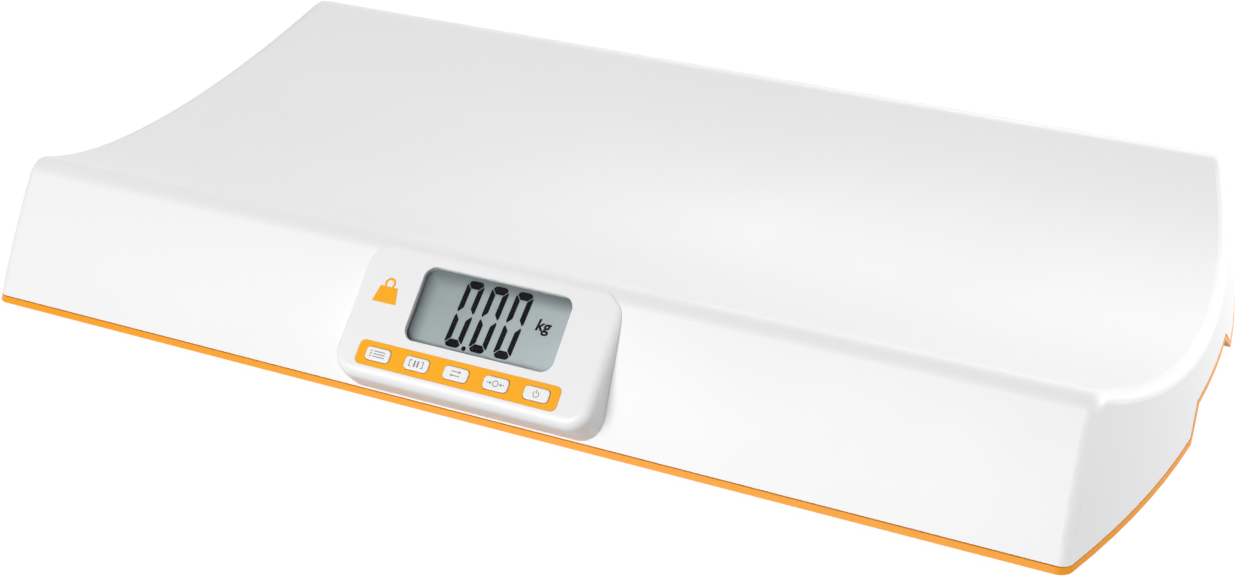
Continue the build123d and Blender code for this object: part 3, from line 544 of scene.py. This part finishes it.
def makeDigits(d):
    lean = math.tan(math.radians(d["slant"]))
    bm = bmesh.new()
    for step in range(d["count"]):
        for outline in noughtSegments(d):
            flatShape(bm, [(step * d["pitch"] + x + lean * y, y) for x, y in outline], d["ink"])
    middle = Vector(((d["width"] + d["pitch"]) / 2, d["pointUp"]))
    turns = [math.tau * step / d["pointSides"] for step in range(d["pointSides"])]
    corners = [middle + d["point"] * Vector((math.cos(turn), math.sin(turn))) for turn in turns]
    flatShape(bm, corners, d["ink"])
    place = onDisplay(d["right"], d["up"], glassTop)
    finishPiece("display_digits", bm, inkBlack, "scale", place)
    print("digits made")


makeDigits(digits)

unitMark = {
    "size": 8.0 * mm, "right": 29.6 * mm, "up": 7.6 * mm,
    "shear": 0.16, "thick": 0.22 * mm, "ink": 0.02 * mm,
}


def makeUnitMark(mark):
    curve = bpy.data.curves.new("unitMark", "FONT")
    curve.body = "kg"
    curve.size = mark["size"]
    curve.shear = mark["shear"]
    curve.offset = mark["thick"]
    curve.extrude = mark["ink"]
    curve.resolution_u = 6
    letters = bpy.data.objects.new("unitMark", curve)
    bpy.context.scene.collection.objects.link(letters)
    bpy.context.view_layer.update()
    flat = bpy.data.meshes.new_from_object(letters.evaluated_get(bpy.context.evaluated_depsgraph_get()))
    bpy.data.objects.remove(letters)
    bm = bmesh.new()
    bm.from_mesh(flat)
    bmesh.ops.remove_doubles(bm, verts=bm.verts, dist=0.002 * mm)
    place = onDisplay(mark["right"], mark["up"], glassTop + mark["ink"])
    finishPiece("display_unit", bm, inkBlack, "scale", place)
    print("unit mark made")


makeUnitMark(unitMark)

legend = {
    "thick": 0.03 * mm, "line": 0.3 * mm,
    "head": 0.75 * mm, "wing": 0.6 * mm,
    "sunk": 0.004 * mm,
    "grown": 1.35,  # size of every sign against the sizes below
}
memoryRows = {
    "apart": 0.95 * mm, "right": 0.6 * mm, "long": 4.6 * mm,
    "dotRight": -2.7 * mm, "dot": 0.6 * mm,
}
holdBars = {"right": 0.65 * mm, "wide": 0.6 * mm, "tall": 2.3 * mm}
holdBrackets = {
    "right": 2.6 * mm, "tall": 2.5 * mm,
    "tipRight": 2.25 * mm, "tipUp": 1.1 * mm, "tip": 0.7 * mm,
}
unitArrows = {"right": 0.3 * mm, "up": 0.75 * mm, "long": 3.0 * mm}
tareMark = {"radius": 1.0 * mm, "arrowRight": 2.75 * mm, "arrowLong": 1.1 * mm}
powerMark = {
    "up": -0.1 * mm, "radius": 1.05 * mm, "start": 125, "turn": 290,
    "strokeUp": 0.75 * mm, "stroke": 1.3 * mm,
}


def arrow(bm, x, y, length, way):
    bar(bm, x, y, length, legend["line"], legend["thick"])
    tip = x + way * length / 2
    point = tip + way * legend["head"]
    flatShape(bm, [(point, y), (tip, y + legend["wing"]), (tip, y - legend["wing"])], legend["thick"])


# three rows of a list
def memorySign(bm):
    rows = memoryRows
    for step in (-1, 0, 1):
        y = step * rows["apart"]
        bar(bm, rows["right"], y, rows["long"], legend["line"], legend["thick"])
        bar(bm, rows["dotRight"], y, rows["dot"], 1.5 * legend["line"], legend["thick"])


# two upright bars between brackets
def holdSign(bm):
    bars, brackets = holdBars, holdBrackets
    for way in (-1, 1):
        bar(bm, way * bars["right"], 0, bars["wide"], bars["tall"], legend["thick"])
        bar(bm, way * brackets["right"], 0, legend["line"], brackets["tall"], legend["thick"])
        for up in (-1, 1):
            x, y = way * brackets["tipRight"], up * brackets["tipUp"]
            bar(bm, x, y, brackets["tip"], legend["line"], legend["thick"])


# arrows there and back
def unitSign(bm):
    for way in (-1, 1):
        arrow(bm, -way * unitArrows["right"], way * unitArrows["up"], unitArrows["long"], way)


# two arrows that close on a nought
def tareSign(bm):
    ring(bm, 0, 0, tareMark["radius"], legend["line"], legend["thick"])
    for way in (-1, 1):
        arrow(bm, -way * tareMark["arrowRight"], 0, tareMark["arrowLong"], way)


# an open ring with a stroke in its gap
def powerSign(bm):
    mark = powerMark
    line, thick = legend["line"], legend["thick"]
    ring(bm, 0, mark["up"], mark["radius"], line, thick, start=mark["start"], turn=mark["turn"])
    bar(bm, 0, mark["strokeUp"], line, mark["stroke"], thick)


def makeLegends():
    signs = [memorySign, holdSign, unitSign, tareSign, powerSign]
    for name, sign in zip(buttonNames, signs):
        low, high = nodeBox(f"{name}_button", displayAxes)
        bm = bmesh.new()
        sign(bm)
        spot = Vector(((low.x + high.x) / 2, (low.y + high.y) / 2, high.z - legend["sunk"]))
        grown = Matrix.Diagonal((legend["grown"], legend["grown"], 1, 1))
        place = displayAxes @ Matrix.Translation(spot) @ grown
        finishPiece(f"{name}_legend", bm, legendGrey, f"{name}_button_body", place)
    print("legends made")


makeLegends()

weightSign = {
    "right": -47.6 * mm, "up": 2.6 * mm, "low": 13.0 * mm, "high": 9.4 * mm, "tall": 8.2 * mm,
    "loop": 2.3 * mm, "loopLine": 1.2 * mm, "loopUp": 1.7 * mm, "ink": 0.03 * mm, "sunk": 0.004 * mm,
}


# plain weight printed beside the window
def makeWeightSign(sign):
    bm = bmesh.new()
    low, high = sign["low"] / 2, sign["high"] / 2
    flatShape(bm, [(-low, 0), (low, 0), (high, sign["tall"]), (-high, sign["tall"])], sign["ink"])
    loopY = sign["tall"] + sign["loopUp"]
    ring(bm, 0, loopY, sign["loop"], sign["loopLine"], sign["ink"], start=-45, turn=270)
    place = onDisplay(sign["right"], sign["up"], faceTop - sign["sunk"])
    finishPiece("display_weight_sign", bm, finish["orange_trim"], "scale", place)
    print("weight sign made")


makeWeightSign(weightSign)

screwKinds = {
    "shell_screws": {"axes": levelAxes, "head": 2.0 * mm, "shank": 1.5 * mm},
    "load_cell_screws": {"axes": levelAxes, "head": 1.1 * mm, "shank": 1.2 * mm},
    "back_cover_screws": {"axes": displayAxes, "head": 1.1 * mm, "shank": 1.2 * mm},
    "display_screws": {"axes": displayAxes, "head": 1.1 * mm, "shank": 1.2 * mm},
}
screwShape = {
    "steps": 24,
    "arm": 0.52, "armWidth": 0.13,  # cross recess against the head's radius
    "recess": 0.55, "recessFloor": 0.7,
    "dome": 0.3, "shoulder": 0.8, "shoulderDrop": 0.4, "edgeDrop": 1.6,
    "tip": 0.3,
}


# the open loop of edges grows to a new radius and height
def growLoop(bm, edges, radius, height):
    grown = bmesh.ops.extrude_edge_only(bm, edges=edges)["geom"]
    verts = {item for item in grown if isinstance(item, bmesh.types.BMVert)}
    for vert in verts:
        out = Vector((vert.co.x, vert.co.y, 0)).normalized()
        vert.co = out * radius + Vector((0, 0, height))
    newEdges = [item for item in grown if isinstance(item, bmesh.types.BMEdge)]
    return [edge for edge in newEdges if set(edge.verts) <= verts]


# one screw with a domed head and a cross recess, head at z = 0 and tip upwards
def screwMesh(headRadius, head, shank, length):
    s = screwShape
    bm = bmesh.new()
    bmesh.ops.create_grid(bm, x_segments=3, y_segments=3, size=1.0)
    for vert in bm.verts:
        for i in range(2):
            far = abs(vert.co[i]) > 0.5
            vert.co[i] = math.copysign(headRadius * (s["arm"] if far else s["armWidth"]), vert.co[i])
    inArm = headRadius * s["armWidth"]
    middles = {face: face.calc_center_median() for face in bm.faces}
    cross = [face for face, at in middles.items() if min(abs(at.x), abs(at.y)) < inArm]
    square = [edge for edge in bm.edges if edge.is_boundary]
    sunk = bmesh.ops.extrude_face_region(bm, geom=cross)["geom"]
    floor = [item for item in sunk if isinstance(item, bmesh.types.BMVert)]
    bmesh.ops.scale(bm, vec=(s["recessFloor"], s["recessFloor"], 1), verts=floor)
    bmesh.ops.translate(bm, vec=(0, 0, head * s["recess"]), verts=floor)
    bmesh.ops.delete(bm, geom=[f for f in cross if f.is_valid], context="FACES_ONLY")
    made = bmesh.ops.create_circle(bm, segments=s["steps"], radius=headRadius * s["shoulder"])["verts"]
    bmesh.ops.translate(bm, vec=(0, 0, head * s["dome"] * s["shoulderDrop"]), verts=made)
    loop = [edge for edge in bm.edges if edge.verts[0] in made and edge.verts[1] in made]
    bmesh.ops.bridge_loops(bm, edges=square + loop)
    loop = growLoop(bm, loop, headRadius, head * s["dome"] * s["edgeDrop"])
    loop = growLoop(bm, loop, headRadius, head)
    loop = growLoop(bm, loop, shank, head)
    loop = growLoop(bm, loop, shank, length - shank)
    loop = growLoop(bm, loop, s["tip"] * shank, length)
    bmesh.ops.holes_fill(bm, edges=loop, sides=s["steps"])
    return bm


def makeScrews(name, kind):
    bm = bmesh.new()
    for low, high in solidBoxes(name, kind["axes"]):
        one = screwMesh((high.x - low.x) / 2, kind["head"], kind["shank"], high.z - low.z)
        spot = Vector(((low.x + high.x) / 2, (low.y + high.y) / 2, low.z))
        addTo(bm, one, kind["axes"] @ Matrix.Translation(spot))
    piece = finishPiece(f"{name}_crosshead", bm, finish["screw_steel"], "scale")
    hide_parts(name)
    print(name, "made")


for screwName, screwKind in screwKinds.items():
    makeScrews(screwName, screwKind)

sole = {
    "grooves": (3.6 * mm, 6.4 * mm, 9.2 * mm), "width": 1.0 * mm, "depth": 0.7 * mm,
    "bevel": 0.4 * mm, "steps": 64,
}


# round rubber sole with ring grooves below
def makeSole(corner):
    low, high = nodeBox(f"{corner}_foot_pad")
    radius = (high.x - low.x) / 2
    tall = high.z - low.z
    profile = [(0.0, 0.0)]
    for groove in sole["grooves"]:
        for side, depth in ((-0.5, 0.0), (-0.35, sole["depth"]), (0.35, sole["depth"]), (0.5, 0.0)):
            profile.append((groove + side * sole["width"], depth))
    bevel = sole["bevel"]
    profile += [(radius - bevel, 0.0), (radius - 0.25 * bevel, 0.3 * bevel), (radius, bevel)]
    profile += [(radius, tall), (0.0, tall)]
    bm = bmesh.new()
    turnedShape(bm, profile, steps=sole["steps"])
    place = Matrix.Translation(((low.x + high.x) / 2, (low.y + high.y) / 2, low.z))
    piece = finishPiece(f"{corner}_sole", bm, finish["sole_rubber"], "scale", place)
    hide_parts(f"{corner}_foot_pad")


for cornerName in ("rear_right", "rear_left", "front_left", "front_right"):
    makeSole(cornerName)
print("soles made")

battery = {
    "count": 4,
    "nub": 1.0 * mm, "nubRadius": 1.9 * mm,
    "can": 5.12 * mm, "end": 0.35 * mm, "crimp": 0.25 * mm,
    "jacketLow": 0.55 * mm, "jacketHigh": 2.6 * mm, "lightBand": 9.0 * mm, "overlap": 0.05 * mm,
}


# profile of a thin sleeve round a cell
def sleeve(bm, inner, outer, low, high):
    lip = 0.06 * mm
    profile = [
        (inner, low), (outer - lip, low), (outer, low + lip),
        (outer, high - lip), (outer - lip, high), (inner, high),
    ]
    turnedShape(bm, profile, closed=True)


# plain AAA cell: bare can, rolled ends and a two-tone jacket
def makeBattery(number):
    b = battery
    low, high = nodeBox(f"battery_{number}")
    radius = (high.y - low.y) / 2
    length = high.x - low.x
    facing = 1 if number % 2 else -1
    turn = Matrix.Rotation(facing * math.pi / 2, 4, "Y")
    start = low.x if facing > 0 else high.x
    place = Matrix.Translation((start, (low.y + high.y) / 2, (low.z + high.z) / 2)) @ turn
    shoulder = length - b["nub"]
    can = bmesh.new()
    turnedShape(can, [
        (0.0, 0.0), (0.62 * radius, 0.0), (0.68 * radius, b["end"] * 0.5),
        (b["can"] - b["end"], b["end"] * 0.5),
        (b["can"], b["end"] * 1.5), (b["can"], shoulder - 6 * b["crimp"]),
        (b["can"] - b["crimp"], shoulder - 4 * b["crimp"]), (b["can"], shoulder - 2.6 * b["crimp"]),
        (b["can"], shoulder - b["crimp"]), (b["can"] - b["end"], shoulder - 0.3 * b["crimp"]),
        (0.55 * radius, shoulder - 0.3 * b["crimp"]), (0.5 * radius, shoulder),
        (b["nubRadius"] * 1.15, shoulder), (b["nubRadius"], shoulder + 0.15 * b["nub"]),
        (b["nubRadius"], shoulder + 0.8 * b["nub"]), (b["nubRadius"] * 0.85, length), (0.0, length),
    ])
    metal = finish["battery_metal"]
    piece = finishPiece(f"battery_{number}_can", can, metal, "scale", place)
    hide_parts(f"battery_{number}")
    change = shoulder - b["jacketHigh"] - b["lightBand"]
    bands = {
        "jacket": (jacketDark, b["jacketLow"], change),
        "band": (jacketLight, change, shoulder - b["jacketHigh"]),
    }
    for name, (material, bandLow, bandHigh) in bands.items():
        bm = bmesh.new()
        sleeve(bm, b["can"] - b["overlap"], radius, bandLow, bandHigh)
        finishPiece(f"battery_{number}_{name}", bm, material, "scale", place)


for batteryNumber in range(1, battery["count"] + 1):
    makeBattery(batteryNumber)
print("batteries made")

spring = {
    "plate": 0.4 * mm,
    "wire": 0.28 * mm, "wireSides": 10,
    "radius": 2.6 * mm, "turns": 2.5, "steps": 50,
}


# stamped plates with short coil springs, which press on the cells' flat ends
def makeNegativeContacts(s):
    bm = bmesh.new()
    doorLow, doorHigh = nodeBox("battery_door")
    middleX = (doorLow.x + doorHigh.x) / 2
    for low, high in solidBoxes("battery_negative_contacts"):
        size = high - low
        way = 1 if (low.x + high.x) / 2 < middleX else -1  # from the plate to the cell
        back = low.x if way > 0 else high.x
        part = bmesh.new()
        bmesh.ops.create_cube(part, size=1.0)
        bmesh.ops.scale(part, vec=(size.y, size.z, s["plate"]), verts=part.verts)
        bmesh.ops.translate(part, vec=(0, 0, s["plate"] / 2), verts=part.verts)
        coil = bmesh.new()
        wire = bmesh.ops.create_circle(coil, segments=s["wireSides"], radius=s["wire"])["verts"]
        turn = Matrix.Rotation(math.pi / 2, 4, "X")
        bmesh.ops.transform(coil, matrix=Matrix.Translation((s["radius"], 0, 0)) @ turn, verts=wire)
        rise = (size.x - s["plate"] - 2 * s["wire"]) / s["steps"]
        bmesh.ops.spin(
            coil, geom=list(coil.verts) + list(coil.edges), cent=(0, 0, 0), axis=(0, 0, 1),
            dvec=(0, 0, rise), angle=math.tau * s["turns"], steps=s["steps"],
        )
        ends = [edge for edge in coil.edges if edge.is_boundary]
        bmesh.ops.holes_fill(coil, edges=ends, sides=s["wireSides"])
        addTo(part, coil, Matrix.Translation((0, 0, s["plate"] + s["wire"])))
        spot = Matrix.Translation((back, (low.y + high.y) / 2, (low.z + high.z) / 2))
        addTo(bm, part, spot @ Matrix.Rotation(way * math.pi / 2, 4, "Y"))
    metal = finish["contact_metal"]
    piece = finishPiece("battery_spring_contacts", bm, metal, "scale")
    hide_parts("battery_negative_contacts")
    print("spring contacts made")


makeNegativeContacts(spring)

marks = {
    "size": 2.1 * mm, "line": 0.45 * mm, "raised": 0.1 * mm,
    "ledge": 2.1 * mm,  # ledge above the door's lower face
    "fromCell": 3.0 * mm,  # middle of a mark past the cell's end
    "arrowLong": 9.0 * mm, "arrowWide": 3.2 * mm, "arrowHead": 7.0 * mm, "arrowFromCatch": 17.0 * mm,
}


# raised plus and minus signs on the ledge round the cells
def makePolarityMarks(m):
    bm = bmesh.new()
    ledge = nodeBox("battery_door")[0].z + m["ledge"]
    for number in range(1, battery["count"] + 1):
        low, high = nodeBox(f"battery_{number}")
        facing = 1 if number % 2 else -1
        for end in (1, -1):
            x = (high.x if end * facing > 0 else low.x) + end * facing * m["fromCell"]
            one = bmesh.new()
            bar(one, 0, 0, m["size"], m["line"], m["raised"])
            if end > 0:
                for way in (-1, 1):
                    reach = (m["size"] - m["line"]) / 2
                    bar(one, 0, way * (m["line"] + reach) / 2, m["line"], reach, m["raised"])
            addTo(bm, one, Matrix.Translation((x, (low.y + high.y) / 2, ledge)) @ underside)
    finishPiece("polarity_marks", bm, finish["orange_base"], "scale")
    print("polarity marks made")


makePolarityMarks(marks)


# raised arrow on the door, pointing to its catch
def makeDoorArrow(m):
    low, high = nodeBox("battery_door")
    bm = bmesh.new()
    long, wide, head = m["arrowLong"], m["arrowWide"] / 2, m["arrowHead"] / 2
    flatShape(bm, [
        (0, wide), (0, -wide), (-long / 2, -wide), (-long / 2, -head),
        (-long, 0), (-long / 2, head), (-long / 2, wide),
    ], m["raised"] * 2)
    spot = Matrix.Translation((low.x + m["arrowFromCatch"] + long, (low.y + high.y) / 2, low.z))
    orange = finish["orange_base"]
    finishPiece("battery_door_arrow", bm, orange, "battery_door_body", spot @ underside)
    print("door arrow made")


makeDoorArrow(marks)

labelFrame = {
    "x": -150 * mm, "y": 20 * mm,
    "wide": 52 * mm, "high": 30 * mm,
    "line": 1.0 * mm, "raised": 0.3 * mm,
}


# raised frame round the bare place of the rating label
def makeLabelFrame(f):
    pan = nodeBox("base_pan")[0].z
    bm = bmesh.new()
    for way in (-1, 1):
        bar(bm, 0, way * (f["high"] - f["line"]) / 2, f["wide"], f["line"], f["raised"])
        bar(bm, way * (f["wide"] - f["line"]) / 2, 0, f["line"], f["high"] - 2 * f["line"], f["raised"])
    place = Matrix.Translation((f["x"], f["y"], pan)) @ underside
    finishPiece("label_frame", bm, finish["orange_base"], "scale", place)
    print("label frame made")


makeLabelFrame(labelFrame)

stage = {
    "size": 12.0,
    "drop": 0.1 * mm,  # below the soles
    "colour": (0.32, 0.32, 0.32, 1),
    "roughness": 0.9,
    "white": 0.86,  # share of plain white where it is seen
    "whiteStrength": 1.13,
    "lightBack": 0.3,  # what the object gets back from the floor
}
light = {
    "around": 0.36,
    "ceiling": 0.3,  # share of the white seen overhead in reflections
    "ceilingFrom": 0.2,
    "ceilingTo": 0.8,
}
lamps = {
    "frontLamp": {"from": (-0.18, -0.9, 0.4), "away": 2.3, "size": (1.5, 1.3), "power": 37},
    "rightLamp": {"from": (0.8, 0.48, 0.34), "away": 2.3, "size": (1.4, 1.2), "power": 37},
    "backLamp": {"from": (0.0, 0.8, 0.55), "away": 2.3, "size": (2.0, 1.2), "power": 18},
}


# 1 where a camera, glossy or transmission ray arrives that no matt surface has scattered
def seenDirectly(nodes, link):
    path = nodes.new("ShaderNodeLightPath")
    some = mathNode(nodes, "ADD")
    anyRay = mathNode(nodes, "ADD")
    seen = mathNode(nodes, "SUBTRACT")
    anyRay.use_clamp = seen.use_clamp = True
    link(path.outputs["Is Camera Ray"], some.inputs[0])
    link(path.outputs["Is Glossy Ray"], some.inputs[1])
    link(some.outputs["Value"], anyRay.inputs[0])
    link(path.outputs["Is Transmission Ray"], anyRay.inputs[1])
    link(anyRay.outputs["Value"], seen.inputs[0])
    link(path.outputs["Diffuse Depth"], seen.inputs[1])
    return path, seen


# plain floor, see-through from below so that the underside can be looked at
def makeStage(s):
    bm = bmesh.new()
    bmesh.ops.create_grid(bm, x_segments=1, y_segments=1, size=s["size"])
    bmesh.ops.translate(bm, vec=(0, 0, -s["drop"]), verts=bm.verts)
    mesh = bpy.data.meshes.new("floor")
    bm.to_mesh(mesh)
    bm.free()
    material = bpy.data.materials.new("paleFloor")
    material.use_nodes = True
    nodes, link = material.node_tree.nodes, material.node_tree.links.new
    shader = nodes["Principled BSDF"]
    shader.inputs["Base Color"].default_value = s["colour"]
    shader.inputs["Roughness"].default_value = s["roughness"]
    path, seen = seenDirectly(nodes, link)
    share = mathNode(nodes, "MULTIPLY", None, s["white"])
    link(seen.outputs["Value"], share.inputs[0])
    white = nodes.new("ShaderNodeEmission")
    white.inputs["Strength"].default_value = s["whiteStrength"]
    both = nodes.new("ShaderNodeMixShader")
    link(share.outputs["Value"], both.inputs["Fac"])
    link(shader.outputs["BSDF"], both.inputs[1])
    link(white.outputs["Emission"], both.inputs[2])
    even = nodes.new("ShaderNodeEmission")
    even.inputs["Strength"].default_value = s["lightBack"]
    lit = nodes.new("ShaderNodeMixShader")
    link(path.outputs["Is Diffuse Ray"], lit.inputs["Fac"])
    link(both.outputs["Shader"], lit.inputs[1])
    link(even.outputs["Emission"], lit.inputs[2])
    side = nodes.new("ShaderNodeNewGeometry")
    through = nodes.new("ShaderNodeBsdfTransparent")
    sided = nodes.new("ShaderNodeMixShader")
    link(side.outputs["Backfacing"], sided.inputs["Fac"])
    link(lit.outputs["Shader"], sided.inputs[1])
    link(through.outputs["BSDF"], sided.inputs[2])
    link(sided.outputs["Shader"], nodes["Material Output"].inputs["Surface"])
    mesh.materials.append(material)
    floor = bpy.data.objects.new("floor", mesh)
    bpy.context.scene.collection.objects.link(floor)


# white all round the camera, dimmer overhead in reflections, and an even soft light on the object
def makeWorld(w):
    world = bpy.data.worlds.new("studio")
    bpy.context.scene.world = world
    world.use_nodes = True
    nodes, link = world.node_tree.nodes, world.node_tree.links.new
    background = nodes["Background"]
    background.inputs["Color"].default_value = (1, 1, 1, 1)
    path, seen = seenDirectly(nodes, link)
    place = nodes.new("ShaderNodeTexCoord")
    parts = nodes.new("ShaderNodeSeparateXYZ")
    link(place.outputs["Object"], parts.inputs["Vector"])
    overhead = mapRange(nodes, w["ceilingFrom"], w["ceilingTo"], 1.0, w["ceiling"], smooth=True)
    link(parts.outputs["Z"], overhead.inputs["Value"])
    shown = mathNode(nodes, "MAXIMUM")
    link(overhead.outputs["Result"], shown.inputs[0])
    link(path.outputs["Is Camera Ray"], shown.inputs[1])
    strength = nodes.new("ShaderNodeMix")
    strength.inputs["A"].default_value = w["around"]
    link(seen.outputs["Value"], strength.inputs["Factor"])
    link(shown.outputs["Value"], strength.inputs["B"])
    link(strength.outputs["Result"], background.inputs["Strength"])


def makeLamp(name, lamp):
    area = bpy.data.lights.new(name, "AREA")
    area.shape = "RECTANGLE"
    area.size, area.size_y = lamp["size"]
    area.energy = lamp["power"]
    stand = bpy.data.objects.new(name, area)
    bpy.context.scene.collection.objects.link(stand)
    out = Vector(lamp["from"]).normalized()
    stand.location = out * lamp["away"]
    stand.rotation_euler = out.to_track_quat("Z", "Y").to_euler()


makeStage(stage)
makeWorld(light)
for lampName, lampValues in lamps.items():
    makeLamp(lampName, lampValues)
bpy.context.scene.view_settings.view_transform = "Standard"
print("stage and lamps made")
